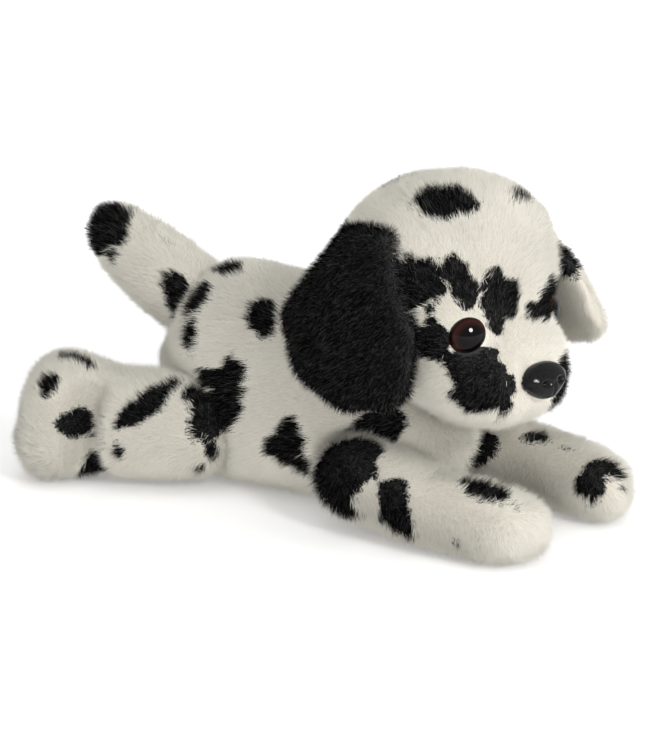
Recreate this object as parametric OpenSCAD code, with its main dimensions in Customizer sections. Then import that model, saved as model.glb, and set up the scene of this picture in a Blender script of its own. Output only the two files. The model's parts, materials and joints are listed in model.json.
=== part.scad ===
// Floppy plush dog lying on its belly: sewn pile covers over stuffing and pellet bags,
// plastic safety eyes and nose held by washers, hanging ears and an upturned tail.
// +X is towards the nose, +Y is the dog's left, +Z is up. The origin is on the floor under the middle.

/* [Torso] */
// Radius of the rump, which sets the torso's width
rump_r = 43; // [38:0.5:46]
// Height of the back over the floor
back_height = 102; // [94:1:108]
// How far forward the chest reaches
chest_x = 79; // [73:1:83]
// Thickness of the pile fabric, backing and pile together
pile_thick = 4; // [2.5:0.5:5]

/* [Head] */
// Radius of the round skull
skull_r = 50; // [46:0.5:51]
// Height of the skull's centre
skull_z = 112; // [107:1:114]
// How far the head is turned to the dog's right at rest, degrees
head_turn = 9; // [0:1:12]

/* [Ears] */
// Length of an ear from its seam to its tip
ear_length = 84; // [60:1:88]
// Widest width of an ear
ear_width = 74; // [50:1:78]
// Thickness of an ear, two layers of pile fabric
ear_thick = 9; // [7:0.5:11]

/* [Eyes and nose] */
// Diameter of the plastic eyes
eye_d = 17.5; // [14:0.5:18]
// Width of the plastic nose
nose_w = 24.5; // [20:0.5:25]
// Diameter of the posts behind the eyes and nose
post_d = 4; // [3:0.5:5]

/* [Legs] */
// Half thickness of the front legs
front_leg_r = 21; // [18:0.5:23]
// Half thickness of the hind legs
hind_leg_r = 27; // [22:0.5:28]
// Height of the hind feet, which stand on their heels
hind_foot_height = 63; // [58:1:68]

/* [Tail] */
// Radius of the tail at its root
tail_root_r = 17; // [14:0.5:18]
// Radius of the tail at its tip
tail_tip_r = 13; // [9:0.5:14]

/* [Hidden] */
LEFT = 1;
RIGHT = -1;

clear = 0.6;          // gap between pieces that move past each other
layer_gap = 0.3;      // gap between a cover and what it holds
seam_gap = 0.2;       // gap between two panels along their seam
far = 400;            // larger than the whole toy
soft_fn = 16;         // facets round a soft form
room_fn = 12;         // facets round the room left for one
wad_fn = 12;          // facets round a wad or a pellet bag
core_r = 9;           // wad of stuffing in a limb's seam, which the limb moves on
stem_r = 6;           // neck of stuffing from a wad into the torso

// Joint centres
neck = [51, 0, 98];
tail_root = [-77, 0, 80];
function shoulder(side) = [41, side * 40, 26];
function hip(side) = [-57, side * 34, 30];
function ear_seam(side) = [57, side * 38, skull_z + 31];
ear_lift = [13, 0, 30];      // how far the right and left ears stand out at rest, degrees
ear_forward = [0, 0, -10];   // the left ear also lies further forward

// Joint ranges in degrees, lowest first
nod_range = [-10, 8];
turn_range = [-12, 12];
tail_lift_range = [-25, 20];
tail_wag_range = [-25, 25];
front_swing_range = [0, 12];
front_spread_range = [-5, 15];
hind_swing_range = [0, 30];
hind_spread_range = [-8, 15];

// Soft forms, each a list of [x, y, z, radius] of the balls whose hull it is
skull = [61, 0, skull_z];
torso_balls = [
    [-45, 0, 37, rump_r],
    [-47, 0, back_height - rump_r + 2, rump_r - 2],
    [-5, 0, 37, rump_r - 2],
    [-7, 0, back_height - 37, 37],
    [chest_x - 37, 0, 38, 37],
    [23, 0, 70, 34],
];
skull_balls = [
    [skull[0], 0, skull_z, skull_r],
    [skull[0] + 15, 15.5, skull_z - 2, 31.5],
    [skull[0] + 15, -15.5, skull_z - 2, 31.5],
];
muzzle_balls = [
    [89, 0, 86, 26],
    [92, 17, 84, 21],
    [92, -17, 84, 21],
    [93, 16, 75, 20],
    [93, -16, 75, 20],
    [108, 10, 73, 17.5],
    [108, -10, 73, 17.5],
    [111, 0, 78, 12],
];
tail_balls = [
    [tail_root[0], 0, tail_root[2], tail_root_r],
    [-99, 0, 88, 16.5],
    [-119, 0, 99, 15],
    [-132, 0, 110, tail_tip_r],
];
function front_upper_balls(side) = [
    [each shoulder(side), front_leg_r],
    [85, side * 41, 19, front_leg_r - 2],
];
// The left leg reaches a little further forward.
paw_tip = [125, 0, 131];
function front_paw_balls(side) = [
    [85, side * 41, 19, front_leg_r - 2],
    [paw_tip[side + 1], side * 32, 16, 16],
    [paw_tip[side + 1] - 5, side * 41, 16, 16],
    [113, side * 38, 19, 17],
];
function hind_upper_balls(side) = [
    [each hip(side), hind_leg_r],
    [-95, side * 50, 29, hind_leg_r + 1],
];
// The right foot stands on its heel; the left one has sagged back and is lower.
hind_foot_top = [hind_foot_height, 0, hind_foot_height - 11];
hind_foot_x = [-122, 0, -126];
function hind_foot_balls(side) = [
    [-95, side * 50, 29, hind_leg_r + 1],
    [hind_foot_x[side + 1], side * 56, 20, 20],
    [hind_foot_x[side + 1] + 8, side * 70, 20, 20],
    [hind_foot_x[side + 1] + 2, side * 54, hind_foot_top[side + 1] - 20, 20],
    [hind_foot_x[side + 1] + 10, side * 66, hind_foot_top[side + 1] - 21, 20],
];
front_pellet_balls = [[104, 39, 12, 10], [117, 37, 12, 10]];
hind_pellet_balls = [[-108, 60, 14, 12], [-114, 62, 16, 12]];
belly_pellet_balls = [[-34, 0, 16, 13], [16, 0, 16, 13], [-8, 14, 16, 13], [-8, -14, 16, 13]];

// ---- Building helpers ----

// A soft piece is evaluated whole, as one closed mesh.
module soft() {
    resize([0, 0, 0]) children();
}

module balls(list, inset = 0, facets = soft_fn) {
    hull()
        for (b = list)
            translate([b[0], b[1], b[2]]) sphere(r = b[3] - inset, $fn = facets);
}

// Room for a form with the gap all round it, facets and all
module room(list, gap = clear) {
    hull()
        for (b = list)
            translate([b[0], b[1], b[2]])
                sphere(r = (b[3] + gap) / pow(cos(180 / room_fn), 2), $fn = room_fn);
}

// Everything above a height
module above(z) {
    translate([-far / 2, -far / 2, z]) cube([far, far, far]);
}

// A range's lowest, middle and highest value
function sweep(range) = [range[0], (range[0] + range[1]) / 2, range[1]];

// Turns its children about a point, about Z and then about Y
module turned(centre, yaw, pitch) {
    translate(centre) rotate([0, 0, yaw]) rotate([0, pitch, 0]) translate(-centre) children();
}

module mirrored(side) {
    if (side == LEFT) children();
    else mirror([0, 1, 0]) children();
}

// ---- Whole forms, each at an inset from its outer surface ----

module torso_form(inset) {
    intersection() {
        balls(torso_balls, inset);
        above(inset);
    }
}

// The head is drawn facing straight ahead and then turned by head_turn.
module head_at_rest() {
    turned(neck, -head_turn, 0) children();
}

module head_form(inset) {
    balls(skull_balls, inset);
    balls(muzzle_balls, inset);
}

neck_ball_r = 18;
neck_stem_r = 14;
neck_stem_z = 42;

// Ball in the head on a stem that stands in the torso
module neck_form() {
    translate(neck) sphere(r = neck_ball_r, $fn = soft_fn);
    neck_stem(0);
}

module neck_stem(grow) {
    translate([neck[0], neck[1], neck_stem_z - grow])
        cylinder(r = neck_stem_r + grow, h = neck[2] - neck_stem_z, $fn = soft_fn);
}

// Room in the head for the neck, over the whole nod
module neck_opening() {
    room([[each neck, neck_ball_r]]);
    hull()
        for (pitch = sweep(nod_range))
            turned(neck, 0, -pitch) neck_stem(clear);
}

module tail_form(inset) {
    for (i = [0 : len(tail_balls) - 2])
        balls([tail_balls[i], tail_balls[i + 1]], inset);
}

module front_leg_form(side, inset) {
    intersection() {
        union() {
            balls(front_upper_balls(side), inset);
            balls(front_paw_balls(side), inset);
        }
        above(inset);
    }
}

module hind_leg_form(side, inset) {
    intersection() {
        union() {
            balls(hind_upper_balls(side), inset);
            balls(hind_foot_balls(side), inset);
        }
        above(inset);
    }
}

// Wads that the limbs move on, each with a stem into the torso
shoulder_stem_y = 10;
hip_stem_y = 3;
tail_stem_x = -48;

module side_wad(centre, stem_y, grow) {
    translate(centre) sphere(r = core_r + grow, $fn = wad_fn);
    side = centre[1] > 0 ? LEFT : RIGHT;
    translate([centre[0], side * (stem_y - grow), centre[2]]) rotate([-side * 90, 0, 0])
        cylinder(r = stem_r + grow, h = abs(centre[1]) - stem_y + grow, $fn = wad_fn);
}

module tail_wad(grow) {
    translate(tail_root) sphere(r = core_r + grow, $fn = wad_fn);
    translate(tail_root) rotate([0, 90, 0])
        cylinder(r = stem_r + grow, h = tail_stem_x - tail_root[0] + grow, $fn = wad_fn);
}

// ---- What the torso leaves room for, over every joint's whole range ----

module head_room() {
    neck_stem(clear);
    for (form = [skull_balls, muzzle_balls])
        hull()
            for (yaw = turn_range, pitch = nod_range)
                turned(neck, yaw - head_turn, pitch) room(form);
}

module tail_room() {
    hull()
        for (yaw = tail_wag_range, pitch = tail_lift_range)
            turned(tail_root, yaw, pitch) room([tail_balls[0], tail_balls[1]]);
    hull()
        for (yaw = sweep(tail_wag_range))
            turned(tail_root, yaw, 0) tail_wad(clear);
}

module front_leg_room(side) {
    for (pair = [[front_spread_range[0], 0], [0, front_spread_range[1]]])
        hull()
            for (yaw = pair, pitch = front_swing_range)
                turned(shoulder(side), side * yaw, -pitch) room(front_upper_balls(side));
    hull()
        for (yaw = sweep(front_spread_range))
            turned(shoulder(side), side * yaw, 0) side_wad(shoulder(side), shoulder_stem_y, clear);
}

module hind_leg_room(side) {
    hull()
        for (yaw = hind_spread_range, pitch = hind_swing_range)
            turned(hip(side), -side * yaw, pitch) room(hind_upper_balls(side));
    hull()
        for (yaw = sweep(hind_spread_range))
            turned(hip(side), -side * yaw, 0) side_wad(hip(side), hip_stem_y, clear);
}

module limb_rooms() {
    head_room();
    tail_room();
    for (side = [LEFT, RIGHT]) {
        front_leg_room(side);
        hind_leg_room(side);
    }
}

// ---- Torso ----

belly_seam_z = 20;

module torso_shell() {
    difference() {
        torso_form(0);
        torso_form(pile_thick);
        limb_rooms();
    }
}

module torso_side_panel(side) {
    color("ivory") soft() intersection() {
        torso_shell();
        translate([-far / 2, side > 0 ? seam_gap / 2 : -far - seam_gap / 2, belly_seam_z])
            cube([far, far, far]);
    }
}

module belly_panel() {
    color("ivory") soft() difference() {
        torso_shell();
        above(belly_seam_z - seam_gap);
    }
}

module torso_fill() {
    color("whitesmoke") soft() difference() {
        torso_form(pile_thick + layer_gap);
        limb_rooms();
        balls(belly_pellet_balls, -layer_gap, wad_fn);
    }
}

module belly_pellet_bag() {
    color("lightgray") soft() intersection() {
        torso_form(pile_thick + layer_gap);
        balls(belly_pellet_balls, 0, wad_fn);
    }
}

// ---- Head ----

muzzle_seam_x = 96;
chin_seam_z = 62;
gusset_half = 16;

// What the head's covers and stuffing leave room for
module head_openings() {
    neck_opening();
    for (side = [LEFT, RIGHT]) {
        ear_groove(side);
        on_eye(side) fitting_seat(eye_d + seat_slack, eye_seat - plate_thick - seam_gap);
    }
    on_nose() fitting_seat(nose_w + seat_slack, nose_seat - seam_gap);
}

// Room for a part that is let into the pile, for its post and for its washer
module fitting_seat(width, depth) {
    translate([0, 0, depth]) cylinder(d = width, h = seat_room, $fn = 30);
    translate([0, 0, -post_length]) cylinder(d = post_d + post_slack, h = post_length, $fn = 16);
    translate([0, 0, washer_z - washer_collar - layer_gap])
        cylinder(d = washer_d + post_slack, h = washer_collar + washer_thick + 2 * layer_gap, $fn = 20);
}

module head_shell() {
    difference() {
        head_form(0);
        head_form(pile_thick);
        head_openings();
    }
}

module ahead_of(x) {
    translate([x, -far / 2, -far / 2]) cube([far, far, far]);
}

module beside(side, y) {
    translate([-far / 2, side > 0 ? y : -far - y, -far / 2]) cube([far, far, far]);
}

module forehead_panel() {
    color("ivory") soft() head_at_rest() difference() {
        head_shell();
        ahead_of(muzzle_seam_x - seam_gap);
        beside(LEFT, gusset_half);
        beside(RIGHT, gusset_half);
    }
}

module cheek_panel(side) {
    color("ivory") soft() head_at_rest() difference() {
        intersection() {
            head_shell();
            beside(side, gusset_half + seam_gap);
        }
        ahead_of(muzzle_seam_x - seam_gap);
    }
}

module muzzle_panel() {
    color("ivory") soft() head_at_rest() intersection() {
        head_shell();
        ahead_of(muzzle_seam_x);
        above(chin_seam_z);
    }
}

module chin_panel() {
    color("ivory") soft() head_at_rest() difference() {
        intersection() {
            head_shell();
            ahead_of(muzzle_seam_x);
        }
        above(chin_seam_z - seam_gap);
    }
}

module head_fill() {
    color("whitesmoke") soft() head_at_rest() difference() {
        head_form(pile_thick + layer_gap);
        neck_opening();
        for (side = [LEFT, RIGHT])
            on_eye(side) fitting_pocket(eye_d + seat_slack);
        on_nose() fitting_pocket(nose_pocket_d);
    }
}

module neck_fill() {
    color("whitesmoke") soft() neck_form();
}

// ---- Eyes and nose ----

// Each stands on a post along -Z, with the cover's outer surface at z = 0.
eye_yaw = 29;         // how far an eye looks sideways, degrees
eye_drop = 5;         // how far it looks down, degrees
eye_at = [103.4, 27.4, skull_z - 11.5];
eye_seat = -0.8;      // where the back of the dome lies
nose_at = [121.5, 0, 77.6];
nose_tilt = 70;       // between the vertical and the way the nose faces, degrees
nose_seat = -1.5;     // where the back of the nose lies
nose_pocket_d = 18;   // width of the room behind the nose
seat_slack = 1;       // how much wider a seat in the pile is than the part in it
seat_room = 12;       // how far a seat reaches outwards
post_slack = 1;       // how much wider the room for a post or a washer is
post_length = 15;
plate_thick = 0.98;   // plate behind a dome
fit_gap = 0.05;       // between plastic parts that are pressed together
dome_height = 5.8;
dome_lip = 1.2;
pupil_r = eye_d * 0.31;
pupil_high = 1.4;
pupil_neck = 0.5;     // how much narrower the pupil is where it meets its plate
ridge_count = 4;
ridge_pitch = 1.6;
ridge_high = 0.8;
ridge_out = 0.25;     // how far a ridge stands out of its post
washer_d = 13;
washer_thick = 1.6;
washer_z = -7;        // how far behind the cover's outer surface a washer sits
washer_collar = 1;
nostril_r = 1.9;
nostril_at = [3, 5, 8.2];

module on_eye(side) {
    translate([eye_at[0], side * eye_at[1], eye_at[2]])
        rotate([0, 0, side * eye_yaw]) rotate([0, 90 + eye_drop, 0]) children();
}

module on_nose() {
    translate(nose_at) rotate([0, nose_tilt, 0]) children();
}

// Room behind the cover for a post and its washer
module fitting_pocket(width) {
    translate([0, 0, -post_length - 1])
        cylinder(d = width, h = post_length + seat_room, $fn = 20);
}

// Clear dome with a step behind it that takes the pupil
module eye_dome_shape() {
    dome_r = (pow(eye_d / 2, 2) + pow(dome_height, 2)) / (2 * dome_height);
    difference() {
        union() {
            intersection() {
                translate([0, 0, dome_lip + dome_height - dome_r]) sphere(r = dome_r, $fn = 64);
                translate([0, 0, dome_lip]) cylinder(d = eye_d + 1, h = dome_height + 1, $fn = 64);
            }
            cylinder(d = eye_d, h = dome_lip, $fn = 64);
        }
        translate([0, 0, -1])
            cylinder(r = pupil_r + fit_gap, h = 1 + pupil_high + fit_gap, $fn = 48);
    }
}

// Black pupil, back plate and ridged post in one moulding
module eye_post_shape() {
    cylinder(r = pupil_r, h = pupil_high, $fn = 48);
    translate([0, 0, -plate_thick - fit_gap]) cylinder(d = eye_d, h = plate_thick, $fn = 64);
    translate([0, 0, -plate_thick / 2])
        cylinder(r = pupil_r - pupil_neck, h = plate_thick, $fn = 48);
    post_shape(-plate_thick / 2);
}

module post_shape(top) {
    translate([0, 0, -post_length]) cylinder(d = post_d, h = post_length + top, $fn = 32);
    for (ridge = [1 : ridge_count])
        translate([0, 0, -post_length + ridge * ridge_pitch - ridge_high])
            cylinder(d1 = post_d, d2 = post_d + 2 * ridge_out, h = ridge_high, $fn = 32);
}

module washer_shape() {
    translate([0, 0, washer_z])
        difference() {
            union() {
                cylinder(d = washer_d, h = washer_thick, $fn = 48);
                translate([0, 0, -washer_collar])
                    cylinder(d = washer_d * 0.55, h = washer_collar + fit_gap, $fn = 48);
            }
            translate([0, 0, -washer_collar - 1])
                cylinder(d = post_d + 2 * fit_gap, h = washer_collar + washer_thick + 2, $fn = 48);
        }
}

module eye_dome(side) {
    color("saddlebrown") head_at_rest() on_eye(side) translate([0, 0, eye_seat]) eye_dome_shape();
}

module eye_post(side) {
    color("black") head_at_rest() on_eye(side) translate([0, 0, eye_seat]) eye_post_shape();
}

module eye_washers() {
    color("white") head_at_rest()
        for (side = [LEFT, RIGHT])
            on_eye(side) washer_shape();
}

// Rounded triangular nose with two nostrils; its own +Y is across the muzzle
module nose() {
    tip_r = nose_w * 0.26;
    color("black") head_at_rest() on_nose() {
        difference() {
            hull() {
                for (b = [
                    [-2.5, tip_r - nose_w / 2, 3.5, tip_r],
                    [-2.5, nose_w / 2 - tip_r, 3.5, tip_r],
                    [4.5, 0, 2.5, tip_r - 1],
                    [-2, 0, 6, tip_r - 0.5],
                ])
                    translate([b[0], b[1], b[2]]) sphere(r = b[3], $fn = 20);
            }
            for (side = [LEFT, RIGHT])
                translate([nostril_at[0], side * nostril_at[1], nostril_at[2]])
                    sphere(r = nostril_r, $fn = 24);
            translate([0, 0, -far / 2 + nose_seat]) cube([far, far, far], center = true);
        }
        post_shape(0);
    }
}

module nose_washer() {
    color("white") head_at_rest() on_nose() washer_shape();
}

// ---- Ears ----

ear_root_r = 3.2;
ear_root_half = 13;
ear_yaw = 12;
ear_inner = 2.5;      // inside face of the flap, out from the seam line
ear_middle = ear_inner + ear_thick / 2;
ear_hem = [25, ear_thick * 0.7, 4];      // top edge of the flap, gathered into the seam
ear_hem_drop = 7;

// Each ear is drawn hanging from the origin, its seam along X and its outer face towards +Y.
module on_ear(side) {
    translate(ear_seam(side)) rotate([0, 0, -side * ear_yaw])
        rotate([side * ear_lift[side + 1], 0, 0]) mirrored(side) children();
}

module ear_axis(r, half) {
    translate([-half, 0, 0]) rotate([0, 90, 0]) cylinder(r = r, h = 2 * half, $fn = 24);
}

module ear_groove(side) {
    on_ear(side) ear_axis(ear_root_r + 1, ear_root_half + 2);
}

// Drop-shaped flap; each disc is [x, z, radius]
module ear_flap() {
    back = -ear_width * 0.55;
    front = ear_width * 0.45;
    hull()
        for (disc = [
            [-9, -5, 5],
            [9, -5, 5],
            [back + 12, -ear_length * 0.52, 12],
            [front - 11, -ear_length * 0.54, 11],
            [back + 23, -ear_length + 23, 15],
            [front - 15, -ear_length + 18, 15],
            [-1, -ear_length + 12, 12],
        ])
            translate([disc[0], ear_middle, disc[1]]) rotate([90, 0, 0]) {
                cylinder(r = disc[2], h = ear_thick * 0.5, center = true, $fn = soft_fn);
                cylinder(r = disc[2] - 2, h = ear_thick, center = true, $fn = soft_fn);
            }
}

// The flap lies on the skull; its rolled seam is let into it.
module ear_form(side) {
    difference() {
        on_ear(side) {
            rotate([0, ear_forward[side + 1], 0]) ear_flap();
            hull() {
                ear_axis(ear_root_r, ear_root_half);
                translate([0, ear_middle, -ear_hem_drop]) cube(ear_hem, center = true);
            }
        }
        balls(skull_balls, -clear);
    }
    on_ear(side) ear_axis(ear_root_r, ear_root_half);
}

module ear_half_space() {
    translate([-far / 2, ear_middle, -far / 2]) cube([far, far, far]);
}

ear_colors = ["#1b1b1c", "", "ivory"];

module ear_outer(side) {
    color(ear_colors[side + 1]) soft() head_at_rest() intersection() {
        ear_form(side);
        on_ear(side) ear_half_space();
    }
}

module ear_lining(side) {
    color(ear_colors[side + 1]) soft() head_at_rest() difference() {
        ear_form(side);
        on_ear(side) translate([0, -seam_gap, 0]) ear_half_space();
    }
}

// ---- Tail ----

tail_pile = pile_thick * 0.8;

module tail_wad_opening() {
    hull()
        for (pitch = tail_lift_range)
            turned(tail_root, 0, -pitch) tail_wad(clear);
}

module tail_panel(side) {
    color("ivory") soft() intersection() {
        difference() {
            tail_form(0);
            tail_form(tail_pile);
            tail_wad_opening();
        }
        beside(side, seam_gap / 2);
    }
}

module tail_fill() {
    color("whitesmoke") soft() difference() {
        tail_form(tail_pile + layer_gap);
        tail_wad_opening();
    }
}

module tail_root_fill() {
    color("whitesmoke") soft() tail_wad(0);
}

// ---- Legs ----

front_sole_z = 9;
hind_sole_x = -126;

module front_leg_shell(side) {
    difference() {
        front_leg_form(side, 0);
        front_leg_form(side, pile_thick);
        side_wad(shoulder(side), shoulder_stem_y, clear);
    }
}

module front_leg_cover(side) {
    color("ivory") soft() intersection() {
        front_leg_shell(side);
        above(front_sole_z);
    }
}

module front_leg_sole(side) {
    color("ivory") soft() difference() {
        front_leg_shell(side);
        above(front_sole_z - seam_gap);
    }
}

module front_leg_fill(side) {
    color("whitesmoke") soft() difference() {
        front_leg_form(side, pile_thick + layer_gap);
        side_wad(shoulder(side), shoulder_stem_y, clear);
        mirrored(side) balls(front_pellet_balls, -layer_gap, wad_fn);
    }
}

module front_paw_pellets(side) {
    color("lightgray") soft() intersection() {
        front_leg_form(side, pile_thick + layer_gap);
        mirrored(side) balls(front_pellet_balls, 0, wad_fn);
    }
}

module hind_leg_shell(side) {
    difference() {
        hind_leg_form(side, 0);
        hind_leg_form(side, pile_thick);
        side_wad(hip(side), hip_stem_y, clear);
    }
}

module hind_leg_cover(side) {
    color("ivory") soft() intersection() {
        hind_leg_shell(side);
        ahead_of(hind_sole_x);
    }
}

module hind_foot_sole(side) {
    color("ivory") soft() difference() {
        hind_leg_shell(side);
        ahead_of(hind_sole_x - seam_gap);
    }
}

module hind_leg_fill(side) {
    color("whitesmoke") soft() difference() {
        hind_leg_form(side, pile_thick + layer_gap);
        side_wad(hip(side), hip_stem_y, clear);
        mirrored(side) balls(hind_pellet_balls, -layer_gap, wad_fn);
    }
}

module hind_foot_pellets(side) {
    color("lightgray") soft() intersection() {
        hind_leg_form(side, pile_thick + layer_gap);
        mirrored(side) balls(hind_pellet_balls, 0, wad_fn);
    }
}

module shoulder_fill(side) {
    color("whitesmoke") soft() side_wad(shoulder(side), shoulder_stem_y, 0);
}

module hip_fill(side) {
    color("whitesmoke") soft() side_wad(hip(side), hip_stem_y, 0);
}

// ---- Nodes ----

torso_side_panel(LEFT);  // torso_left_panel
torso_side_panel(RIGHT);  // torso_right_panel
belly_panel();
torso_fill();
belly_pellet_bag();
neck_fill();
forehead_panel();
cheek_panel(LEFT);  // left_cheek_panel
cheek_panel(RIGHT);  // right_cheek_panel
muzzle_panel();
chin_panel();
head_fill();
eye_dome(LEFT);  // left_eye_dome
eye_post(LEFT);  // left_eye_post
eye_dome(RIGHT);  // right_eye_dome
eye_post(RIGHT);  // right_eye_post
eye_washers();
nose();
nose_washer();
ear_outer(LEFT);  // left_ear_outer
ear_lining(LEFT);  // left_ear_lining
ear_outer(RIGHT);  // right_ear_outer
ear_lining(RIGHT);  // right_ear_lining
tail_panel(LEFT);  // tail_left_panel
tail_panel(RIGHT);  // tail_right_panel
tail_fill();
tail_root_fill();
shoulder_fill(LEFT);  // front_left_shoulder_fill
front_leg_cover(LEFT);  // front_left_leg_cover
front_leg_sole(LEFT);  // front_left_leg_sole
front_leg_fill(LEFT);  // front_left_leg_fill
front_paw_pellets(LEFT);  // front_left_paw_pellets
shoulder_fill(RIGHT);  // front_right_shoulder_fill
front_leg_cover(RIGHT);  // front_right_leg_cover
front_leg_sole(RIGHT);  // front_right_leg_sole
front_leg_fill(RIGHT);  // front_right_leg_fill
front_paw_pellets(RIGHT);  // front_right_paw_pellets
hip_fill(LEFT);  // hind_left_hip_fill
hind_leg_cover(LEFT);  // hind_left_leg_cover
hind_foot_sole(LEFT);  // hind_left_foot_sole
hind_leg_fill(LEFT);  // hind_left_leg_fill
hind_foot_pellets(LEFT);  // hind_left_foot_pellets
hip_fill(RIGHT);  // hind_right_hip_fill
hind_leg_cover(RIGHT);  // hind_right_leg_cover
hind_foot_sole(RIGHT);  // hind_right_foot_sole
hind_leg_fill(RIGHT);  // hind_right_leg_fill
hind_foot_pellets(RIGHT);  // hind_right_foot_pellets
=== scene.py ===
"""A floppy plush dog with black spots, lying on its belly, dressed around its CAD frame.

Every body gets a padded cover grown from its own CAD nodes, and the cover gets a pile of real
strands: white ones, and black ones where a spot is. The eyes, posts and washers are the CAD parts.
All sizes are in metres, in the frame of the CAD model: +X to the nose, +Y to the dog's left, +Z up.
"""

import json
import math

import bmesh
import bpy
import numpy as np
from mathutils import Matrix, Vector
from mathutils.bvhtree import BVHTree


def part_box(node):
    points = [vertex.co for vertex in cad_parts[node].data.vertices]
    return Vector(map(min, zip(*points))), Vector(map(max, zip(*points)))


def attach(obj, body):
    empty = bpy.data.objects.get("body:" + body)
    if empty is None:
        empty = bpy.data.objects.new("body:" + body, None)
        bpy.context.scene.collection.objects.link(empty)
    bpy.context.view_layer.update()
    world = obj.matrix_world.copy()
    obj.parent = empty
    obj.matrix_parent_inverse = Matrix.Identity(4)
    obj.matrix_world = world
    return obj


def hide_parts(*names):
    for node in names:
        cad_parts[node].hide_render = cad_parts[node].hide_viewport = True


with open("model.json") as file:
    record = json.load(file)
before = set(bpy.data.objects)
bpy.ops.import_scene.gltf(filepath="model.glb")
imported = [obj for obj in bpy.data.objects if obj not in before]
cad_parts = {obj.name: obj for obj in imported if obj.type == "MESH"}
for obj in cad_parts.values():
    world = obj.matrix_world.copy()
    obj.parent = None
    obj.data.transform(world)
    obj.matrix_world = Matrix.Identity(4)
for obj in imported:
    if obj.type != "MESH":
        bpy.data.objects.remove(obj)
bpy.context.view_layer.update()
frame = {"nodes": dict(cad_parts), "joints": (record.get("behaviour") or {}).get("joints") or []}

MM = 0.001
MM2_PER_M2 = 1e6
SIDES = {"left": 1, "right": -1}    # which way each side lies along Y
UP = np.array((0, 0, 1))
random = np.random.default_rng(7)

# Covers
VOXEL = 4.0 * MM            # how finely a cover is remeshed
PUFF_LIMIT = 1.2 * MM       # the furthest that the cloth step moves a point
PUFF_FRAMES = 20
PUFF_PRESSURE = 4
CLOTH_MASS = 0.3
TAIL_RISE = 6.5 * MM        # how far the hollow of the tail's back is filled out
FRONT_KNEE = 86 * MM        # about where a front leg's upper length gives way to the paw, along X
HIND_KNEE = -94 * MM        # about where a hind leg's upper length gives way to the foot, along X
FLOOR_GAP = 0.5 * MM        # nothing of the toy is nearer to the floor than this

# The pile: how long a strand is, how far it leans over in degrees, how thick it is and how many there are
LONG_PILE = dict(length=5.4 * MM, lean=42, radius=0.115 * MM, per_mm2=3.2)
SHORT_PILE = dict(length=3.6 * MM, lean=24, radius=0.115 * MM, per_mm2=3.8)
SPREADS = {"white": 0.06, "black": 0.45}    # how unevenly the strands catch the light
COLOUR_PLACE = 0.6          # the share of a strand's length at which its colour is decided
BURIED_DEPTH = 7 * MM       # nothing grows deeper than this inside another cover
NOSE_BARE = 9 * MM          # nothing grows nearer than this to the nose's middle


# ---- Arrays ----

def unit(vectors):
    """The vectors at length 1."""
    return vectors / np.maximum(np.linalg.norm(vectors, axis=-1, keepdims=True), 1e-12)


def corners(mesh):
    """A mesh's corner points."""
    co = np.empty(len(mesh.vertices) * 3)
    mesh.vertices.foreach_get("co", co)
    return co.reshape(-1, 3)


def waves(points, wavelength, seed, count=20):
    """A smooth random field of about unit strength, from plane waves in random directions."""
    rng = np.random.default_rng(seed)
    directions = unit(rng.normal(size=(count, 3)))
    lengths = wavelength * rng.uniform(0.7, 1.5, count)
    phases = rng.uniform(0, 2 * math.pi, count)
    total = np.zeros(len(points))
    for direction, length, phase in zip(directions, lengths, phases):
        total += np.sin(points @ direction * (2 * math.pi / length) + phase)
    return total * math.sqrt(2 / count)


def wave_vectors(points, wavelength, seed):
    """Three independent smooth fields, as vectors."""
    return np.stack([waves(points, wavelength, seed + axis) for axis in range(3)], axis=1)


def smoothstep(value, low, high):
    """0 below low, 1 above high, smooth in between."""
    t = np.clip((value - low) / (high - low), 0, 1)
    return t * t * (3 - 2 * t)


# ---- Places taken from the frame ----

def box_centre(node):
    """The middle of a CAD node's box."""
    low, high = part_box(node)
    return np.array((low + high) / 2)


def joint(name):
    """A joint's row in the record."""
    return next(j for j in frame["joints"] if j["name"] == name)


def flat_axis(node):
    """The axis of a flat round CAD node: the direction in which it is thinnest."""
    points = corners(frame["nodes"][node].data)
    spread = np.cov((points - points.mean(0)).T)
    return np.linalg.eigh(spread)[1][:, 0]


HEAD_SIDE = np.array(joint("head_nod")["axis"])
HEAD_FRONT = np.cross(HEAD_SIDE, UP)
HEAD_PIVOT = np.array(joint("head_nod")["pos_m"])
NOSE = box_centre("nose")
EYES = {side: box_centre(f"{side}_eye_dome") for side in SIDES}
EYE_RADIUS = 8.75 * MM


def in_head(front, side, up):
    """A point given in millimetres in the head's own frame, from the neck joint."""
    return HEAD_PIVOT + (HEAD_FRONT * front + HEAD_SIDE * side + UP * up) * MM


# ---- Covers ----

def cloud(*nodes):
    """The corner points of these CAD nodes together."""
    return np.concatenate([corners(frame["nodes"][n].data) for n in nodes])


def between(points, low, high, axis=0):
    """The points in a slab across one axis."""
    return points[(points[:, axis] >= low) & (points[:, axis] <= high)]


def add_hull(bm, points):
    """Adds the convex hull of the points."""
    points = np.unique(np.round(points, 5), axis=0)
    verts = [bm.verts.new(p) for p in points]
    made = bmesh.ops.convex_hull(bm, input=verts)
    loose = {g for key in ("geom_interior", "geom_unused") for g in made[key]}
    bmesh.ops.delete(bm, geom=[g for g in loose if isinstance(g, bmesh.types.BMVert)], context="VERTS")


def new_object(name, mesh):
    """A new object in the scene."""
    obj = bpy.data.objects.new(name, mesh)
    bpy.context.scene.collection.objects.link(obj)
    return obj


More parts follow.
